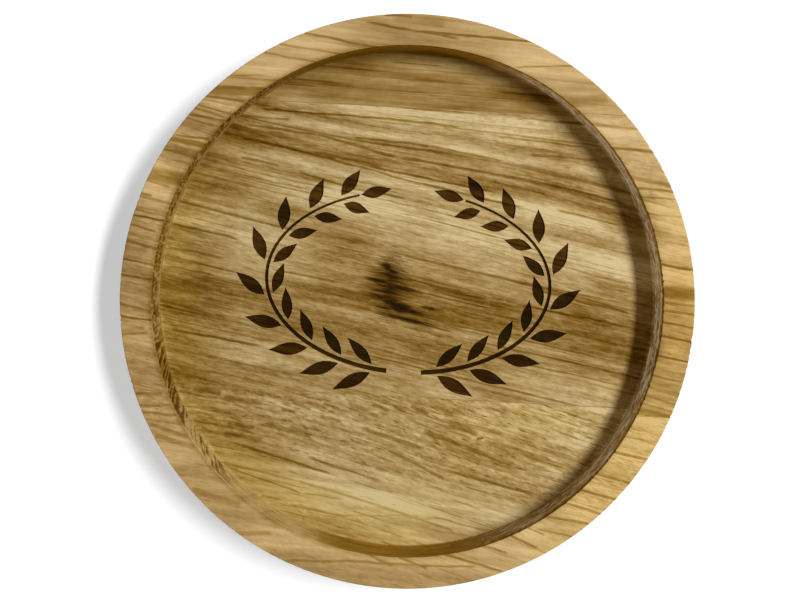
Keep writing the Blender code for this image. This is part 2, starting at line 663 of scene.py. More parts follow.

# Where stains, painted shade and painted bounce light start and are complete, in millimetres: from the axis,
# along their direction, or in X and Y
# The amber near the wall at the lower left is painted warm bounce light from the lit wall
AMBER_FROM_AXIS = (33.0, 43.0)
AMBER_ALONG = (8.0, 30.0)
RIGHT_AMBER_FROM_AXIS = (34.0, 42.0)
RIGHT_AMBER_X = (-6.0, 10.0)
RIM_AMBER_ALONG = (30.0, 48.0)
RIM_AMBER_STRENGTH = 0.6
# The painted shade along the wall at the upper left
CORNER_FROM_AXIS = (41.0, 44.4)
CORNER_ALONG = (31.0, 40.0)
WARM_X = (38.0, 44.0)
WARM_MIDDLE_Y = -2.0
WARM_HALF_HEIGHT = (3.5, 9.0)
BRIM_STAIN_WIDTH = 0.9
BRIM_STAIN_X = (-25.0, 15.0)
BRIM_STAIN_RAGGED = 0.5

# The recess wall: where it turns to the light and is painted paler, where its pale fuzz lies, which is
# partly painted light, and where torn fibres turn grey
WALL_LIT_ALONG = (39.0, 43.2)
FUZZ_ALONG = (40.0, 43.2)
TORN_GREY_X = (-20.0, 20.0)

# How far the rings wander in long drifts and short ripples, and the strength of soft blots of tone
RING_DRIFT = 1.4
RING_RIPPLE = 0.45
BLOT_STRENGTH = 0.55

# How far a line that crosses the rim runs past it at both ends, as a share of the rim's width
RIM_OVERRUN = 0.2

# Dark lines along the rings: the bold ones' width, and the fine ones' share of their gap, run and strength
BOLD_WIDTH = 0.26
FINE_WIDTH = 0.18
FINE_GAP = 0.43
FINE_RUN = 0.8
FINE_STRENGTH = 0.45

# The sanded outside: how much of the recess's grain and contrast it shows, and how much paler it is; the
# paleness is partly the sanded finish and partly painted light against the recess, which is left darker as
# if shaded
SANDED_GRAIN = 0.6
SANDED_CONTRAST = 0.85
SANDED_LIFT = 0.19
STREAKS_BELOW = 1.5

# Roughness and gloss of each finish, relief in millimetres, and how strongly it shows
OAK_ROUGHNESS = 0.58
LINE_ROUGHNESS = 0.2
OAK_GLOSS = 0.025
BURNT_ROUGHNESS = 0.85
BURNT_GLOSS = 0.02
GLUE_ROUGHNESS = 0.42
GLUE_GLOSS = 0.06
OAK_RELIEF = 0.06
GLUE_RELIEF = 0.03
RELIEF_STRENGTH = 0.4

# Each stave's own cut of oak, with lengths in millimetres and the grain along +X:
# seed sets its noise apart, tilt leans its rings through the thickness, and waver is how much they ripple.
# slopes and bows say how the grain falls along +X, at the low and the high end of turn_at.
# leans say how much more steeply the fibres fall than the rings do.
# bands are tones at places across the rings, and contrast is their strength from ring to ring.
# ends are changes of tone at the left and right, which start and are complete at ends_at from the middle;
# where the left is darker and the right paler they are partly the wood's own tone and partly painted light
# and shade for the lamp's falloff from the right.
# amber is the strength of the amber tint: at the lower left, where it is painted warm bounce light from the
# lit wall, then at the right near the axis and far off.
# calm says where across the rings the coarse grain starts, with calmer grain below.
# flecks are the length, width and strength of short light and dark marks, and dashes of short dark pores.
# spots is the strength of a rounder dapple between them.
# line_gap, line_run and line_strength are the spacing, length and strength of dark lines along the rings.
# patches are lighter or darker ovals: place across and along the rings, half length, half height, change; a
# few near the right wall are painted shadow and painted light on the rim's shadow.
# knot and smudges are dark ovals in the same form, with a strength.
# streaks are bold dark lines along the rings: place across them, start, end, half width, strength.
# floor_lines are straight dark lines in the recess: from x and y, to x and y, half width, strength.
# rim_lines cross part of the rim: turn in degrees and share of its width at both ends, half width, strength.
# rim_crossings cross all of it: turn in degrees at the brim and at the edge, half width, strength.
UPPER_STAVE = {
    "seed": 11,
    "tilt": 0.1,
    "waver": 0.7,
    "turn_at": (36, 50),
    "slopes": (0.02, 0.06),
    "bows": (0, 0),
    "leans": (0, 0),
    "bands": (
        (33, 0.46), (36, 0.5), (37.6, 0.4), (39.5, 0.48), (42, 0.44), (43.2, 0.5), (45.5, 0.56),
        (47.2, 0.43), (48.4, 0.55), (50, 0.5),
    ),
    "contrast": 0.5,
    "ends": (0.2, 0.22),
    "ends_at": (6, 22),
    "amber": (1, 0, 0),
    "calm": (30, 31),
    "flecks": (4, 0.36, 0.28),
    "dashes": (3, 0.16, 0.15),
    "spots": 0.18,
    "line_gap": 2.6,
    "line_run": 26,
    "line_strength": 0.4,
    # (35.8, 23, ...) darkens the floor near the wall at the upper right, partly painted shadow where the
    # rim's shadow falls
    "patches": (
        (45.5, 19, 8, 3, 0.24), (39.5, 29, 6, 3, -0.16), (38.6, 19, 9, 2.4, -0.24), (45.5, -18, 8, 3, 0.1),
        (41.2, -12, 5, 3, -0.12), (36.5, -32, 5, 3, -0.08), (37.6, -18, 8, 3.5, -0.16),
        (36.6, 4, 8, 1.6, 0.09), (39.3, 4, 9, 1.6, -0.08), (35.8, 23, 9, 2, -0.22),
        (35.2, -4, 9, 1.2, 0.09), (42.3, 3, 7, 2.5, 0.08),
    ),
    "knot": (),
    "smudges": (),
    "streaks": (
        (47, -7, 20, 0.3, 0.8), (44, -24, -3, 0.26, 0.75), (42.5, 12, 30, 0.22, 0.6),
        (42.6, -7, 6, 0.24, 0.6), (40.8, -24, -2, 0.22, 0.6), (38.2, -27, -12, 0.28, 0.55),
        (37.2, -26, -17, 0.26, 0.6), (38.7, 12, 27, 0.36, 0.6), (35, 9, 30, 0.34, 0.5),
        (36.9, -36, -25, 0.8, 0.6), (49.4, -6, 3, 0.35, 0.6),
    ),
    "floor_lines": (),
    "rim_lines": (
        (54.5, -0.1, 48.1, 1, 1.1, 0.28), (69, 0, 56.2, 1.2, 0.2, 0.45), (93, 0.46, 65.5, 1.12, 0.26, 0.7),
        (102, 0.86, 81, 0.36, 0.26, 0.65), (97.8, 1, 91.5, 0.88, 0.3, 0.65),
        (96, 0.9, 84.8, 0.78, 1.2, 0.22), (98, -0.1, 115, 1.1, 0.26, 0.6),
        (106.5, -0.1, 120.5, 1.1, 0.22, 0.38), (113, -0.1, 124.5, 1.2, 0.2, 0.38),
        (125, 0.31, 132, 1.1, 0.2, 0.3), (127.3, -0.15, 137.1, 1.2, 1.15, 0.55),
        (126.2, -0.1, 136.2, 1.2, 0.42, 0.8),
    ),
    "rim_crossings": (),
}
MIDDLE_STAVE = {
    "seed": 47,
    "tilt": 0.08,
    "waver": 1,
    "turn_at": (14, 36),
    "slopes": (0.185, 0.03),
    "bows": (0, -0.0034),
    "leans": (0, 0),
    "bands": (
        (-27, 0.58), (-22, 0.5), (-17, 0.62), (-13, 0.58), (-8, 0.46), (-3, 0.42), (4, 0.38), (7.5, 0.52),
        (10, 0.68), (14.5, 0.86), (16.5, 0.82), (18.2, 0.6), (20.3, 0.88), (21.5, 0.74), (23.2, 0.44),
        (26.5, 0.46), (28.1, 0.84), (28.9, 0.82), (29.8, 0.62), (31.4, 0.74), (33.5, 0.95), (36, 0.7),
    ),
    "contrast": 0.7,
    "ends": (-0.13, 0),
    "ends_at": (20, 40),
    "amber": (1, 0, 0),
    "calm": (-40, -39),
    "flecks": (1.9, 0.32, 0.7),
    "dashes": (2.2, 0.16, 0.32),
    "spots": 0.32,
    "line_gap": 2.4,
    "line_run": 30,
    "line_strength": 0.55,
    # (11.7, 37, ...) darkens and (-5, 38, ...) lightens the floor partly where the rim's shadow falls near
    # the right wall: painted shadow and painted light
    "patches": (
        (3, -31, 20, 8, 0.41), (-2.5, -42, 5, 4.5, 0.24), (-10, -29, 5, 3, 0.21), (32.3, 28, 7, 2.5, -0.22),
        (33, -20, 9, 2.5, -0.17), (32, 37.5, 6, 4, -0.08), (14.5, 47, 4, 5, -0.12), (15, -36, 13, 5, -0.33),
        (21.3, 24, 14, 2.6, 0.26), (-9, 30, 16, 5, 0.3), (12, 12, 12, 5, 0.12), (11, 46, 3.8, 7, -0.11),
        (-14, -46.5, 5, 5, 0.1), (15.5, -9, 9, 4.5, 0.16), (2, -10, 7, 4, 0.16), (0, 47.5, 5, 4, 0.16),
        (5, 24, 8, 3, 0.12), (11, -46, 6, 6, 0.33), (26, 46.5, 6, 4, 0.36), (-16, -29, 9, 3, 0.23),
        (21.9, -4.3, 6, 2.5, 0.16), (7.1, 16.1, 6, 3, 0.14), (2.7, -29.5, 4, 3, 0.14),
        (22.7, 28.4, 8, 2.5, 0.15), (-14.3, 8, 9, 3, 0.19), (11.7, 37, 5, 3, -0.15),
        (-1.5, 7.5, 7, 2.5, -0.13), (10.7, -23.4, 6, 3, -0.14), (7.4, -10.1, 5, 2.5, -0.17),
        (18, -21.5, 8, 3, -0.16), (-8, 6, 8, 2.5, -0.1), (30.9, 14.8, 6, 2, 0.12),
        (26.3, 18.4, 8, 2.5, 0.12), (-8, 46.5, 5, 5, 0.1), (23, -30, 5, 3, -0.1), (4.4, 32.5, 7, 3, -0.1),
        (-5, 38, 6, 5, 0.13), (28.8, 0, 16, 2, 0.08), (10.2, 29, 6, 3, 0.11), (22.5, -1, 8, 2.5, 0.1),
        (-3.2, 0.5, 6, 2.5, -0.1), (22.2, 47, 4, 2.5, 0.2), (3, 47.5, 4, 3, 0.29), (8, 47.5, 4, 2, -0.09),
        (-13.4, -15.5, 5, 2.5, 0.08), (-0.6, -16.2, 5, 3, 0.08),
    ),
    "knot": (
        (1.6, -3.2, 2.4, 4, 0.7), (4.9, -3.9, 1.3, 0.8, 0.95), (4.3, -2.8, 1.3, 0.7, 0.9),
        (3.5, -3.2, 3, 0.45, 1), (2.2, -4.9, 2.8, 0.42, 1.15), (1.9, -1.2, 3, 0.55, 1),
        (0.6, -3.6, 3.6, 0.34, 0.85), (-0.6, -5, 2.6, 0.6, 0.8), (-1, -2.9, 2, 0.9, 1.2),
        (-1.6, -1.2, 2.4, 1.15, 1.7), (-1.8, 0.9, 2.6, 0.6, 0.8), (-2.4, -3.9, 2, 0.26, 0.7),
        (-3.5, -0.1, 5, 0.46, 1.1), (-0.5, 4.3, 1.5, 0.36, 0.8),
    ),
    "smudges": (
        (3.4, -38.5, 2.6, 1.3, 0.8), (-0.5, -39.5, 3, 0.9, 0.6), (-4.6, -36, 4, 1, 0.75),
        (-6.4, -37.5, 3.6, 1.5, 1), (-8.6, -35, 4.2, 1.2, 0.85), (-10.6, -38, 4, 1, 0.7),
    ),
    "streaks": (
        (10.8, -47, -40, 0.6, 0.55), (12.6, 43.5, 51, 1.2, 0.5), (-6.2, 0, 46, 0.3, 0.55),
        (-9.9, -14, 16, 0.26, 0.55), (3.7, -4, 14, 0.22, 0.75), (2, -6, 20, 0.24, 0.8),
        (-3.6, -5, 11, 0.26, 0.85),
    ),
    "floor_lines": (
        (-29.9, 32.6, 0.5, 31.9, 0.25, 0.85), (-5, 32.1, 8.5, 31.1, 0.25, 0.85),
        (-31.3, 31.3, -22.4, 30.9, 0.24, 0.6), (-31.2, 29.7, -16.9, 28.4, 0.28, 0.65),
        (-19.1, 28.9, -2.3, 24.9, 0.34, 0.6), (-27.3, 28.7, -16.7, 26, 0.55, 0.35),
        (-31.8, 27.2, -20, 25.4, 0.26, 0.65), (-22.9, 25.9, 3.8, 20.1, 0.25, 0.7),
        (-10.7, 23.7, 16.6, 19.5, 0.27, 0.8), (-31.6, 23.8, -23.8, 22.5, 0.26, 0.55),
        (-21, 21.7, -9.2, 18.8, 0.24, 0.65), (-11.3, 19.2, -0.8, 17.8, 0.25, 0.65),
        (-11.8, 28.4, 3.4, 27.5, 0.26, 0.75), (1.7, 27.7, 16.8, 25.3, 0.24, 0.6),
        (13.7, 29.9, 31.1, 28.8, 0.22, 0.55), (20.3, 26.8, 33.3, 26.5, 0.24, 0.6),
        (2.7, 26.8, 33.9, 22.4, 0.8, 0.26), (11.1, 23.7, 32.2, 20, 0.24, 0.55),
        (-3, 25.3, 19.8, 22.5, 0.27, 0.75), (15.1, 23.3, 38.8, 19, 0.28, 0.8),
        (-0.1, 21, 20.7, 17.1, 0.25, 0.8), (25.5, 17.3, 37.9, 14.9, 0.24, 0.6),
        (21.6, 3, 40.9, -0.8, 0.28, 0.8), (19, 4, 40.1, 0.9, 0.2, 0.5), (4.5, 2.2, 14.2, 0.5, 0.26, 0.6),
        (19, 0, 41.2, -3.3, 0.24, 0.65), (5, -3.8, 11.2, -4.9, 0.24, 0.55),
        (27.9, -4.2, 40.8, -6, 0.4, 0.5), (16.4, -7.7, 23.3, -9, 0.24, 0.5),
        (30.1, 6.3, 39.9, 4.6, 0.2, 0.5), (-43.6, 11.3, -30.3, 8.9, 0.25, 0.75),
        (-43.7, 6.9, -32.8, 5.4, 0.24, 0.6), (-43.5, 3.6, -35, 2.2, 0.24, 0.6),
        (-24.8, 3.9, -12.2, 2.1, 0.22, 0.6), (-43.1, -7.8, -25.3, -10, 0.3, 0.85),
    ),
    "rim_lines": (
        (131.8, 0, 138.2, 1.15, 0.26, 0.65), (134, 0.1, 139, 1.15, 0.18, 0.3),
        (137, -0.1, 141.5, 1.2, 0.22, 0.45), (140.6, 0.1, 144, 1.2, 0.25, 0.4),
        (143, -0.15, 147.6, 1, 0.3, 0.55), (154.5, -0.1, 156.9, 1.15, 1.4, 0.62),
        (157.3, 0.2, 158.1, 1.2, 0.35, 0.4), (160.5, 0.6, 161, 1.3, 0.25, 0.6),
        (167.5, 0.1, 167.5, 1.2, 0.22, 0.5), (189, 0.2, 188.8, 1.2, 0.5, 0.3),
        (189.9, 0.1, 189.6, 1.2, 0.3, 0.45),
    ),
    "rim_crossings": (
        (5.3, 4.3, 1.35, 0.75), (11.9, 8.9, 0.28, 0.85), (23.5, 19.5, 0.2, 0.3), (27.8, 23.2, 0.2, 0.45),
        (30.3, 24.6, 0.25, 0.6), (33, 25.8, 0.45, 0.4), (41, 33.4, 0.35, 0.7), (137.2, 143.1, 0.25, 0.5),
        (145, 149, 0.6, 0.75), (148, 151.6, 0.35, 0.6), (164.6, 165.5, 0.24, 0.9),
        (171.3, 170.7, 0.35, 0.5), (175, 174.4, 0.25, 0.55), (178.3, 177.6, 0.22, 0.65),
        (187.7, 185.4, 0.25, 0.95), (337.4, 339.4, 0.8, 0.45), (339.4, 340.5, 0.2, 0.4),
        (341.3, 342, 0.15, 0.35), (343.3, 343.7, 0.15, 0.35), (346.2, 346.7, 0.2, 0.5),
        (350.9, 350.8, 0.24, 0.85), (355.5, 354.8, 0.24, 0.8), (358.4, 357.6, 0.22, 0.6),
        (361.2, 360.1, 0.35, 0.5), (363, 362, 0.3, 0.4),
    ),
}
LOWER_STAVE = {
    "seed": 83,
    "tilt": -0.15,
    "waver": 0.6,
    "turn_at": (-50, -20),
    "slopes": (0.07, 0.25),
    "bows": (0.0022, 0.0022),
    "leans": (0.22, 0.04),
    "bands": (
        (-50, 0.47), (-48.5, 0.47), (-47, 0.68), (-45.5, 0.74), (-42, 0.76), (-39, 0.82), (-36.5, 0.86),
        (-34, 0.76), (-31.5, 0.66), (-28, 0.62), (-23, 0.62), (-20.5, 0.62), (-18, 0.71), (-14, 0.72),
        (-9, 0.8), (-5, 0.8),
    ),
    "contrast": 0.6,
    "ends": (-0.17, 0.12),
    "ends_at": (14, 36),
    "amber": (0.75, 0.42, 0.1),
    "calm": (-37, -28),
    "flecks": (1.7, 0.45, 0.9),
    "dashes": (1.8, 0.26, 0.58),
    "spots": 0.5,
    "line_gap": 2.2,
    "line_run": 6,
    "line_strength": 0.35,
    # (-31.5, 25, ...) darkens the floor where the rim's shadow starts near the right wall: painted shadow
    "patches": (
        (-27, 13, 10, 4, 0.02), (-40.5, -30, 14, 9, -0.11), (-46.5, -14, 10, 4, -0.12),
        (-35.5, 29, 6, 4, -0.26), (-34.5, -22, 9, 3.5, -0.12), (-19, 16, 7, 3, 0.2), (-38, -2, 10, 3, 0.14),
        (-31.5, 25, 5, 4, -0.14), (-42.5, 3.5, 5, 2, 0.1), (-24.5, 21.5, 7.5, 3.5, -0.13),
        (-40.3, 18.5, 5, 3, -0.13),
    ),
    "knot": (),
    "smudges": (),
    "streaks": (
        (-47, -20, 0, 0.38, 0.65), (-16.6, 38, 51, 0.7, 0.55), (-20.6, 36, 51, 0.3, 0.6),
    ),
    "floor_lines": (
        (-31, -27.3, -11, -32.6, 0.3, 0.75), (-17, -29.3, -2.5, -33.4, 0.28, 0.65),
        (-31.5, -31.8, -16.5, -36.3, 0.22, 0.5), (-24.5, -23.9, -15.5, -25.9, 0.5, 0.45),
        (-31.5, -23.9, -26, -25, 0.5, 0.5), (-32, -25.9, -24.5, -26.9, 0.45, 0.4),
        (-7.3, -23.8, 4.7, -27.1, 0.45, 0.5), (-1, -27.9, 4.4, -30.3, 0.35, 0.5),
        (-19.5, -38.2, -8.5, -39.9, 0.2, 0.45), (-12, -39.8, 5.3, -39.1, 0.2, 0.26),
        (-17.2, -36, -9.7, -36.8, 0.2, 0.35), (-37.8, -18.2, -32.3, -18.8, 0.8, 0.6),
        (-32.6, -19.4, -24.8, -20.2, 0.5, 0.4), (-35, -21.4, -28.5, -23.2, 0.5, 0.4),
        (-2.3, -27.3, 9, -32.5, 0.35, 0.6), (7.5, -30.4, 25.5, -34.3, 0.35, 0.55),
        (3.7, -23.6, 16.6, -27.7, 0.4, 0.5), (7.7, -21.7, 19.2, -23.7, 0.5, 0.45),
        (13.7, -24.7, 15.1, -24.4, 0.24, 0.9), (20.4, -18.5, 32.9, -21.6, 0.25, 0.4),
        (17.5, -25.3, 28, -28.1, 0.35, 0.45), (-1.5, -39.8, 6.8, -39.4, 0.2, 0.2),
        (6, -38.9, 17.2, -41.3, 0.22, 0.4), (15.5, -36.5, 21.2, -38.1, 0.2, 0.35),
        (9.8, -35.9, 15.4, -37.3, 0.18, 0.3), (-1.6, -19.4, 1, -20.6, 0.34, 0.5),
        (1.4, -19.3, 5.1, -20.6, 0.5, 0.5), (5.8, -19, 9.5, -20.6, 0.36, 0.45),
        (9, -19.5, 11.7, -20.4, 0.34, 0.45), (8.3, -22, 14.2, -23.8, 0.6, 0.45),
        (4.6, -23.7, 8.4, -25, 0.34, 0.5), (-19.9, -19.8, -16.1, -20.9, 0.34, 0.5),
        (-14.3, -19.6, -11, -20.7, 0.32, 0.5), (-9.9, -19.4, -5.6, -20.6, 0.32, 0.45),
        (-5.5, -19.4, -1.9, -20.5, 0.42, 0.5), (-21.7, -21, -18.9, -21.6, 0.4, 0.55),
        (-14.8, -22, -10.5, -22.9, 0.38, 0.45),
    ),
    "rim_lines": (
        (203.6, 0.1, 201.6, 1.1, 0.4, 0.45), (207, 0, 203.9, 1.1, 0.35, 0.42),
        (210, -0.1, 205.2, 1.1, 0.28, 0.45), (212, -0.1, 206.8, 1.1, 0.3, 0.4), (215, 0, 208, 1, 0.4, 0.4),
        (218, 0, 210.5, 1, 0.6, 0.38), (234.5, 0.2, 223.5, 1, 0.7, 0.3), (243, 0.35, 236, 1.1, 0.5, 0.3),
        (266, 0.2, 247, 1, 0.3, 0.4), (277, 0.27, 262.5, 0.26, 0.25, 0.4),
        (288, 0.58, 274, 0.25, 0.25, 0.5), (263, -0.05, 270.2, 0.3, 0.28, 0.5),
        (270.5, -0.05, 277.5, 0.38, 0.28, 0.5), (280, -0.1, 293, 1, 0.28, 0.6),
        (288.5, -0.15, 295, 0.5, 0.26, 0.55), (295.5, -0.2, 301, 0.75, 0.26, 0.6),
        (300, -0.2, 303.5, 0.5, 0.25, 0.45), (302, 0.1, 308.3, 1.05, 0.2, 0.4),
        (304.5, -0.2, 312.7, 1.1, 0.28, 0.55),
    ),
    "rim_crossings": (
        (310, 316.2, 0.26, 0.6), (314.6, 320.2, 0.28, 0.6), (320, 324.2, 0.3, 0.55),
        (326.5, 330.2, 0.3, 0.6), (330.6, 334.1, 0.25, 0.4),
    ),
}
STAVES = {"upper_stave": UPPER_STAVE, "middle_stave": MIDDLE_STAVE, "lower_stave": LOWER_STAVE}


# The oak's figure

def places(tree):
    """The x, y and z of each point, in millimetres."""
    return split(steer(wire(tree, "TexCoord", "Object"), "MULTIPLY", (1 / MM, 1 / MM, 1 / MM)))


def rim_spot(turn, share):
    """A spot on the rim, at a turn about the axis in degrees and a share of the way from brim to edge."""
    distance = recess_radius + share * RIM_WIDTH
    return distance * math.cos(math.radians(turn)), distance * math.sin(math.radians(turn))


def strongest(marks):
    """The strongest of several marks at each point."""
    total = marks[0]
    for mark in marks[1:]:
        total = total.or_more(mark)
    return total


class Figure:
    """The wood of one stave at each point: where it lies across the rings, its tone and its pores."""

    def __init__(self, tree, stave):
        self.tree = tree
        self.stave = stave
        self.seed = stave["seed"]
        self.x, self.y, self.z = places(tree)
        self.distance = (self.x * self.x + self.y * self.y) ** 0.5
        self.ring = self.across_the_rings()
        self.fibre = self.ring + self.between("leans") * self.x
        self.spot = vector(tree, self.x, self.ring, 0.0)

    def between(self, key):
        """A value that the stave gives for the low and the high end of turn_at, eased between them."""
        return spread(self.y, *self.stave["turn_at"], *self.stave[key])

    def towards(self, way):
        """How far a point lies from the axis in one direction."""
        return self.x * way[0] + self.y * way[1]

    def blots(self, x, y, z, detail=2.0, roughness=0.5):
        """Soft noise about 0, where x, y and z are already divided by the size of its blots."""
        return cloud(self.tree, x, y, z, detail, roughness) - 0.5

    def across_the_rings(self):
        """The distance across the growth rings, which the grain follows at a constant value."""
        left = self.x.or_less(0.0)
        straight = self.y + self.between("slopes") * self.x + self.between("bows") * left * left
        drift = self.blots(self.x / 50, straight / 18 + self.seed, self.z / 40, 1.0) * RING_DRIFT
        ripple = self.blots(self.x / 13, straight / 4 + self.seed, self.z / 12, 1.0) * RING_RIPPLE
        return straight + self.z * self.stave["tilt"] + drift + ripple * self.stave["waver"]

    def tone(self):
        """Light and dark bands along the grain, from the stave's own broad bands down to single fibres."""
        bands = self.stave["bands"]
        low, high = bands[0][0], bands[-1][0]
        stops = [((ring - low) / (high - low), (tone, tone, tone, 1.0)) for ring, tone in bands]
        broad = tint(spread(self.ring, low, high, shape="LINEAR"), stops)
        # Tone at the left and right ends: partly the wood's own, partly painted light and shade for the
        # lamp's falloff from the right
        near, far = self.stave["ends_at"]
        left, right = self.stave["ends"]
        ends = spread(self.x, -near, -far, 0.0, left) + spread(self.x, near, far, 0.0, right)
        soft = self.blots(self.x / 14 + self.seed, self.ring / 2.4, self.z / 9) * BLOT_STRENGTH
        rings = self.blots(self.x / 28, self.ring / 0.9 + self.seed, self.z / 30, 3.0, 0.55)
        length, width, strength = self.stave["flecks"]
        flecks = self.blots(self.x / length, self.fibre / width, self.z / 0.6 - self.seed, 3.0, 0.6)
        spots = self.blots(self.x / 1.1, self.fibre / 0.62, self.z / 0.6 + self.seed, 2.0, 0.6)
        marks = (flecks * strength + spots * self.stave["spots"]) * self.roughness()
        fine = soft + rings * self.stave["contrast"] + marks + self.ring_steps()
        return broad + ends + self.patches() + fine

    def patches(self):
        """The stave's own lighter and darker patches, soft at their edges."""
        total = 0.0
        for *oval, change in self.stave["patches"]:
            away = self.from_oval(*oval)
            total = total + spread(steer(away, "DOT_PRODUCT", away), 0.0, 1.0, change, 0.0)
        return total

    def from_oval(self, ring, x, half_length, half_height):
        """A wire that points from the middle of an oval along the grain, with length 1 at its edge."""
        scale = (1 / half_length, 1 / half_height, 0.0)
        return steer(self.spot, "MULTIPLY_ADD", scale, (-x / half_length, -ring / half_height, 0.0))

    def roughness(self):
        """How coarse the grain is, from 0.4 in the stave's calm end up to 1."""
        return spread(self.ring, *self.stave["calm"], 0.4, 1.0)

    def ring_count(self, gap, seed):
        """A number that rises by one from each growth ring to the next, with rings of uneven width."""
        uneven = cloud(self.tree, seed, self.fibre / (2.2 * gap), self.seed, 1.0)
        return self.fibre / gap + uneven * 1.5 + (self.seed + seed)

    def ring_steps(self):
        """A change of tone from ring to ring, sharp on one side of each ring and soft on the other."""
        count = self.ring_count(self.stave["line_gap"], 1.0)
        cell = count.floor()
        place = count - cell
        return (dice(cell, 3.0) - 0.5) * 0.16 + (place - 0.5) * (dice(cell, 4.0) - 0.2) * 0.24

    def fibres(self):
        return self.blots(self.x / 7, self.fibre / 0.30, self.z / 0.6 + self.seed, 2.0, 0.6)

    def lines(self, gap, width, run, seed):
        """Thin dark lines of open pores, one to each ring, that swell and run out along the grain."""
        count = self.ring_count(gap, seed)
        cell = (count + 0.5).floor()
        unsteady = self.blots(self.x / 1.6, cell * 3.7, seed, 1.0) * (0.5 * width)
        away = abs(count - cell) * gap + unsteady
        life = cloud(self.tree, self.x / run + dice(cell, seed + 5) * 90, cell * 7.31, seed)
        body = spread(life + dice(cell, seed + 9) * 0.3, 0.6, 0.8)
        return spread(away / (body * width + 0.001), 0.3, 1.0, 1.0, 0.0) * body

    def streaks(self):
        """The stave's chosen dark streaks along the grain, which run out to points."""
        marks = []
        for ring, start, end, half, strength in self.stave["streaks"]:
            taper = 0.3 * (end - start)
            body = spread(self.x, start, start + taper) * spread(self.x, end - taper, end, 1.0, 0.0)
            away = abs(self.ring - ring) + (1.0 - body) * half
            marks.append(spread(away, 0.2 * half, 0.85 * half, strength, 0.0))
        breaks = cloud(self.tree, self.x / 2.4, self.ring / 0.3, self.z / 0.8 - self.seed)
        return strongest(marks) * spread(breaks, 0.25, 0.6, 0.75, 1.0)

    def straight_lines(self, rows):
        """Chosen dark lines from spot to spot, a little unsteady, which thin out towards their ends."""
        unsteady = self.blots(self.x / 5, self.y / 2, self.seed) * 0.7
        spot = vector(self.tree, self.x, self.y + unsteady, 1.0)
        marks = []
        for x_start, y_start, x_end, y_end, half, strength in rows:
            middle = Vector((x_start + x_end, y_start + y_end)) / 2
            reach = Vector((x_end, y_end)) - middle
            ahead = reach / reach.length_squared
            aside = Vector((-reach.y, reach.x)) / (reach.length * half)
            along = steer(spot, "DOT_PRODUCT", (ahead.x, ahead.y, -ahead.dot(middle)))
            across = steer(spot, "DOT_PRODUCT", (aside.x, aside.y, -aside.dot(middle)))
            body = spread(abs(along), 0.75, 1.0, 1.0, 0.0)
            marks.append(spread(abs(across), 0.4, 1.15, strength, 0.0) * body)
        breaks = cloud(self.tree, self.x / 2.4, self.fibre / 0.4, self.z / 0.8 - self.seed)
        return strongest(marks) * spread(breaks, 0.25, 0.6, 0.7, 1.0)

    def rim_lines(self):
        """The stave's chosen lines on the rim, where a crossing runs a little past both of its edges."""
        rows = list(self.stave["rim_lines"])
        for start, end, *look in self.stave["rim_crossings"]:
            rows.append((start, -RIM_OVERRUN, end, 1 + RIM_OVERRUN, *look))
        return self.straight_lines([
            (*rim_spot(start, start_share), *rim_spot(end, end_share), *look)
            for start, start_share, end, end_share, *look in rows
        ])

    def smudges(self, rows):
        """Chosen dark smudges, from 0 at the edge of each up to its strength, feathered along the grain."""
        marks = []
        for *oval, strength in rows:
            marks.append((1.0 - steer(self.from_oval(*oval), "LENGTH")) * strength)
        feather = self.blots(self.x / 2.2, self.ring / 0.17, self.z / 0.8 - self.seed, 3.0, 0.6)
        return strongest(marks) + feather * 2.2

    def pores(self):
        """Short dark pores, thickest in patches."""
        length, width, strength = self.stave["dashes"]
        dash = cloud(self.tree, self.x / length, self.fibre / width, self.z / width - self.seed, 1.0)
        patch = cloud(self.tree, self.x / 30, self.fibre / 1.5 - self.seed, self.z / 30, 1.0)
        return spread(dash, 0.56, 0.72) * spread(patch, 0.34, 0.60, 0.2, 1.0) * strength * self.roughness()

    def brim_edge(self):
        """How close a spot of the rim lies to the recess, from 1 at the brim down to 0."""
        ragged = self.blots(self.x / 1.4, self.y / 0.5, self.z) * BRIM_STAIN_RAGGED
        near = spread(self.distance + ragged, recess_radius, recess_radius + BRIM_STAIN_WIDTH, 1.0, 0.0)
        return near * spread(self.z, floor_height, disc_height) * spread(self.x, *BRIM_STAIN_X, 1.0, 0.3)

    def far_corner_shade(self):
        """How deep a spot of the floor lies in the painted shade along the wall at the upper left, from 0 up
        to 1.
        """
        return spread(self.distance, *CORNER_FROM_AXIS) * spread(self.towards(UPPER_LEFT), *CORNER_ALONG)

    def warm_side(self):
        """How far a spot lies in the warmer wood at the right of the rim, from 0 up to 1."""
        return spread(self.x, *WARM_X) * spread(abs(self.y - WARM_MIDDLE_Y), *WARM_HALF_HEIGHT, 1.0, 0.0)

    def amber(self):
        """How amber the floor is, from 0 up to 1; near the wall at the lower left this is painted warm
        bounce light from the lit wall.
        """
        strength, near, far = self.stave["amber"]
        left = spread(self.distance, *AMBER_FROM_AXIS) * spread(self.towards(LOWER_LEFT), *AMBER_ALONG)
        right = spread(self.x, *RIGHT_AMBER_X) * spread(self.distance, *RIGHT_AMBER_FROM_AXIS, near, far)
        return left * strength + right


def new_material(name):
    material = bpy.data.materials.new(name)
    material.use_nodes = True
    return material, material.node_tree, material.node_tree.nodes["Principled BSDF"]


def finish_surface(tree, shader, colour, roughness, height, relief, gloss):
    inputs = {"Distance": relief * MM, "Strength": RELIEF_STRENGTH, "Height": height}
    bump = wire(tree, "Bump", "Normal", inputs)
    surface = {"Base Color": colour, "Roughness": roughness, "Normal": bump, "Specular IOR Level": gloss}
    for name, value in surface.items():
        feed(tree, shader.inputs[name], value)


def facing(tree):
    """How far a surface faces along the fibres, and how far it faces up or down, from 0 to 1."""
    x, _, z = split(wire(tree, "NewGeometry", "Normal"))
    return abs(x), abs(z)


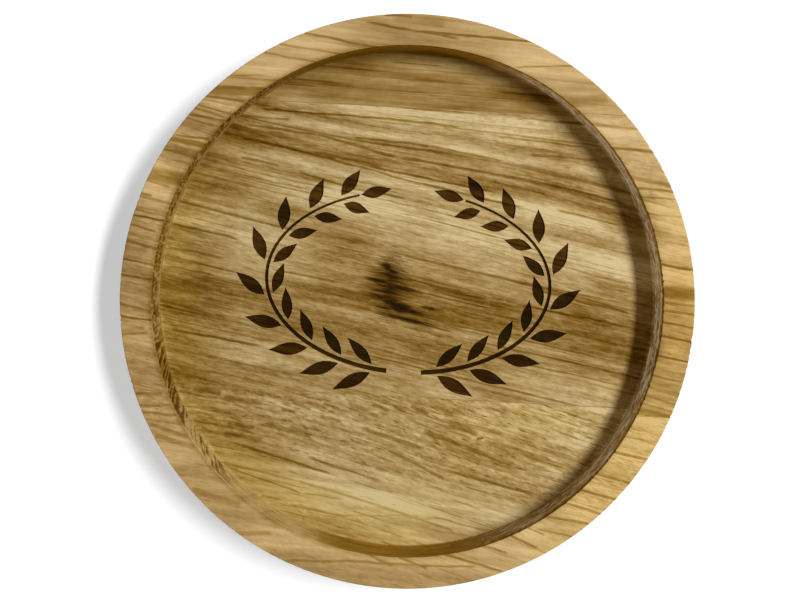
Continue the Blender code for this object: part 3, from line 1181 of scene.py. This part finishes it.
def milled_wall(figure, colour):
    """The recess wall: fine level lines from the cutter, with pits and loose fibres where it is torn, and
    painted light where it faces the lamp.
    """
    tree = figure.tree
    along, up = facing(tree)
    upright = spread(up, 0.3, 0.7, 1.0, 0.0)
    lit_side = figure.towards(LIT_SIDE)
    hairs = cloud(tree, figure.x / 6, figure.y / 6, figure.z / 0.3)
    cut_face = darken(tint(hairs, WALL_TONES), along ** 2.0 * END_GRAIN_SHADE)
    # Where the wall faces the lamp it keeps the floor's paler colour and takes a pale fuzz: painted light on
    # the lit side
    colour = blend(upright * spread(lit_side, *WALL_LIT_ALONG, 0.85, 0.0), colour, cut_face)
    fuzz_and_painted_light = spread(hairs, 0.35, 0.65, 0.1, 0.55) * spread(lit_side, *FUZZ_ALONG)
    colour = blend(upright * fuzz_and_painted_light, colour, PALE_FUZZ_AND_PAINTED_LIGHT)
    torn = wire(tree, "Attribute", "Fac", attribute_name="torn")
    # Dark in the pits, and in the band of painted shade under the brim
    colour = soak(colour, PIT_STAIN_AND_BRIM_SHADE, spread(torn, 0.0, -0.9))
    torn_colour = tint(spread(figure.x, *TORN_GREY_X), TORN_TONES)
    return blend(spread(torn, 0.0, 0.9, 0.0, 0.85), colour, torn_colour)


def milled_oak(figure, tone, grain):
    """The colour of the recess, and how dark its lines are."""
    chosen = figure.streaks()
    if figure.stave["floor_lines"]:
        chosen = chosen.or_more(figure.straight_lines(figure.stave["floor_lines"]))
    dark = grain.or_more(chosen).clamped()
    colour = soak(tint(tone, MILLED_TONES), LINE_STAIN, dark)
    # Amber, which near the wall at the lower left is painted warm bounce light
    colour = soak(colour, AMBER_STAIN_AND_WARM_BOUNCE, figure.amber())
    # Painted shade in the floor's corner along the wall at the upper left
    colour = soak(colour, PAINTED_CORNER_SHADE, figure.far_corner_shade())
    if figure.stave["smudges"]:
        smudges = figure.smudges(figure.stave["smudges"])
        colour = blend(spread(smudges, -0.1, 0.8, 0.0, 0.5), colour, STAIN_COLOUR)
    if figure.stave["knot"]:
        knot = figure.smudges(figure.stave["knot"])
        colour = blend(spread(knot, -0.6, 0.1, 0.0, 0.8), colour, KNOT_HALO)
        colour = blend(spread(knot, 0.0, 0.55, 0.0, 0.95), colour, KNOT_BROWN)
        colour = blend(spread(knot, 0.5, 1.1), colour, KNOT_BLACK)
    return milled_wall(figure, colour), dark


def sanded_oak(figure, tone, grain):
    """The colour of the rim, the side and the underside, and how dark its lines are."""
    above = spread(figure.z, 0.0, STREAKS_BELOW)
    chosen = figure.rim_lines() * above + figure.streaks() * (1.0 - above)
    dark = (grain * SANDED_GRAIN).or_more(chosen).clamped()
    # The lift pales the rim and outside, partly the sanded finish and partly painted light against the
    # shaded recess
    colour = soak(tint(tone * SANDED_CONTRAST + SANDED_LIFT, SANDED_TONES), LINE_STAIN, dark)
    amber = spread(figure.towards(FAR_RIGHT), *RIM_AMBER_ALONG) * RIM_AMBER_STRENGTH
    colour = soak(colour, AMBER_STAIN_AND_WARM_BOUNCE, amber)
    colour = soak(colour, WARM_STAIN, figure.warm_side())
    colour = soak(colour, BRIM_STAIN, figure.brim_edge())
    along, _ = facing(figure.tree)
    return darken(colour, along ** 2.0 * END_GRAIN_SHADE), dark


def oak(node, cut):
    """Oiled oak. cut is sanded for the rim and outside, milled for the recess, burnt for the wreath."""
    material, tree, shader = new_material(node + "_" + cut)
    stave = STAVES[node]
    figure = Figure(tree, stave)
    tone = figure.tone()
    gap, run = stave["line_gap"], stave["line_run"]
    fine = figure.lines(gap * FINE_GAP, FINE_WIDTH, run * FINE_RUN, 2.0)
    pores = figure.pores()
    height = figure.fibres() - pores
    if cut == "burnt":
        colour = tint((tone - fine * 0.3).clamped(), BURNT_TONES)
        finish_surface(tree, shader, colour, BURNT_ROUGHNESS, height, OAK_RELIEF, BURNT_GLOSS)
        return material
    bold = figure.lines(gap, BOLD_WIDTH, run, 1.0)
    grain = (bold + fine * FINE_STRENGTH) * stave["line_strength"] + pores
    colour, dark = (sanded_oak if cut == "sanded" else milled_oak)(figure, tone, grain)
    roughness = dark * LINE_ROUGHNESS + OAK_ROUGHNESS
    finish_surface(tree, shader, colour, roughness, height, OAK_RELIEF, OAK_GLOSS)
    return material


def glue(node):
    """Cured wood glue, brown and slightly glossy."""
    material, tree, shader = new_material(node)
    x, y, z = places(tree)
    blots = cloud(tree, x / 4, y / 1.5, z / 1.5)
    colour = tint(blots, GLUE_TONES)
    roughness = blots * LINE_ROUGHNESS + GLUE_ROUGHNESS
    finish_surface(tree, shader, colour, roughness, blots, GLUE_RELIEF, GLUE_GLOSS)
    return material


# Assembling the panel

CUTS = ("sanded", "milled", "burnt")
BURNT_STAVE = "middle_stave"


def slot_of(face):
    """Which of the cuts a face shows, as its place in CUTS."""
    inside = face.center.xy.length < recess_radius + PIT_DEPTH + BRIM_CHIP_DEPTH
    below_brim = face.center.z < disc_height - 0.5 * BRIM_EASE
    if not (inside and below_brim) or face.center.z < floor_height - 2 * BURN_DEPTH:
        return 0
    return 2 if face.center.z < floor_height - SAME_PLACE else 1


def dress(piece, node):
    """Gives a finished piece its materials, and scales it from millimetres to the frame's metres."""
    piece.data.materials.clear()
    if node in STAVES:
        cuts = CUTS if node == BURNT_STAVE else CUTS[:2]
        for cut in cuts:
            piece.data.materials.append(oak(node, cut))
        for face in piece.data.polygons:
            face.material_index = min(slot_of(face), len(cuts) - 1)
    else:
        piece.data.materials.append(glue(node))
    torn = piece.data.attributes.new("torn", "FLOAT", "POINT")
    for vertex in piece.data.vertices:
        torn.data[vertex.index].value = wall_tear(vertex.co) if on_wall(vertex.co) else 0.0
    make_active(piece)
    piece.scale = (MM, MM, MM)
    bpy.ops.object.transform_apply(location=False, rotation=False, scale=True)


def build_panel():
    blank = milled_blank()
    cutter = wreath_cutter()
    reach = disc_radius + 1
    film = GLUE_HALF + GLUE_AIR
    layout = (
        ("upper_stave", upper_joint + film, reach),
        ("upper_glue_line", upper_joint - GLUE_HALF, upper_joint + GLUE_HALF),
        ("middle_stave", lower_joint + film, upper_joint - film),
        ("lower_glue_line", lower_joint - GLUE_HALF, lower_joint + GLUE_HALF),
        ("lower_stave", -reach, lower_joint - film),
    )
    for node, y_low, y_high in layout:
        piece = panel_piece(blank, node + "_piece", y_low, y_high)
        if node == BURNT_STAVE:
            burn_wreath(piece, cutter)
        shade_round_faces(piece)
        dress(piece, node)
        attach(piece, "root")
        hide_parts(node)
    for helper in (blank, cutter):
        bpy.data.objects.remove(helper, do_unlink=True)


# Stage, light and camera

def white_where_seen(tree, shaded, white):
    """Picks the plain white shader for rays that come from the camera, a gloss or glass."""
    path = add_node(tree, "LightPath")
    rays = ("Is Camera Ray", "Is Glossy Ray", "Is Transmission Ray")
    seen = strongest([Wire(tree, path.outputs[ray]) for ray in rays])
    return wire(tree, "MixShader", 0, enumerate((seen, shaded, white)))


def build_floor():
    """A pale floor that keeps the shadow near the disc and runs out to white."""
    deselect_all()
    bpy.ops.mesh.primitive_circle_add(
        vertices=FLOOR_SIDES, radius=FLOOR_RADIUS, fill_type="NGON", location=(0, 0, cad_low.z)
    )
    floor = bpy.context.active_object
    floor.name = "pale_floor"
    material, tree, shader = new_material("pale_floor")
    tree.nodes.remove(shader)
    bounce = wire(tree, "BsdfDiffuse", 0, {"Color": BOUNCE_GREY})
    paper = wire(tree, "BsdfDiffuse", 0, {"Color": PAPER_GREY})
    glow = wire(tree, "Emission", 0, {"Color": PAPER_GLOW, "Strength": GLOW_STRENGTH})
    lit_paper = wire(tree, "AddShader", 0, enumerate((paper, glow)))
    white = wire(tree, "Emission", 0, {"Color": WHITE})
    away = steer(wire(tree, "TexCoord", "Object"), "LENGTH")
    fade = spread(away, WHITE_FROM, WHITE_BEYOND)
    near = wire(tree, "MixShader", 0, enumerate((fade, lit_paper, white)))
    surface = white_where_seen(tree, bounce, near)
    feed(tree, tree.nodes["Material Output"].inputs["Surface"], surface)
    floor.data.materials.append(material)


def hang_lamp(name, bearing, from_zenith, distance, width, height, roll, watts, colour):
    """An oval lamp that faces the disc, with its width level before it is rolled."""
    around, down = math.radians(bearing + DISC_TURN), math.radians(from_zenith)
    towards = Vector((math.sin(down) * math.cos(around), math.sin(down) * math.sin(around), math.cos(down)))
    lamp = bpy.data.lights.new(name, "AREA")
    lamp.shape = "ELLIPSE"
    lamp.size = width
    lamp.size_y = height
    lamp.energy = watts
    lamp.color = colour
    hung = bpy.data.objects.new(name, lamp)
    hung.location = Vector((0, 0, disc_height * MM)) + towards * distance
    level = towards.to_track_quat("Z", "Y")
    hung.rotation_euler = (level @ Quaternion((0, 0, 1), math.radians(roll))).to_euler()
    bpy.context.collection.objects.link(hung)


def build_light():
    for name, settings in LAMPS.items():
        hang_lamp(name, **settings)
    world = bpy.data.worlds.new("studio")
    world.use_nodes = True
    tree = world.node_tree
    fill = tree.nodes["Background"]
    fill.inputs["Color"].default_value = FILL_COLOUR
    fill.inputs["Strength"].default_value = FILL_STRENGTH
    white = wire(tree, "Background", 0, {"Color": WHITE})
    surface = white_where_seen(tree, Wire(tree, fill.outputs[0]), white)
    feed(tree, tree.nodes["World Output"].inputs["Surface"], surface)
    bpy.context.scene.world = world


def build_camera():
    """Looks straight down from just off the middle, with the disc turned a little in the frame."""
    lens = bpy.data.cameras.new("camera")
    lens.sensor_width = SENSOR_WIDTH
    lens.lens = FOCAL_PX / FRAME_WIDTH_PX * SENSOR_WIDTH
    lens.shift_x = -NADIR_PX[0] / FRAME_WIDTH_PX
    lens.shift_y = -NADIR_PX[1] / FRAME_WIDTH_PX
    lens.clip_start = NEAREST_SEEN
    camera = bpy.data.objects.new("camera", lens)
    turn = math.radians(DISC_TURN)
    above = FOCAL_PX / DISC_RADIUS_PX * disc_radius
    spot = Vector((-math.sin(turn) * CAMERA_OFFSET, math.cos(turn) * CAMERA_OFFSET, disc_height + above))
    camera.location = spot * MM
    camera.rotation_euler = (0.0, 0.0, turn)
    bpy.context.collection.objects.link(camera)
    bpy.context.scene.camera = camera


bpy.context.scene.view_settings.view_transform = "Standard"
build_panel()
build_floor()
build_light()
build_camera()
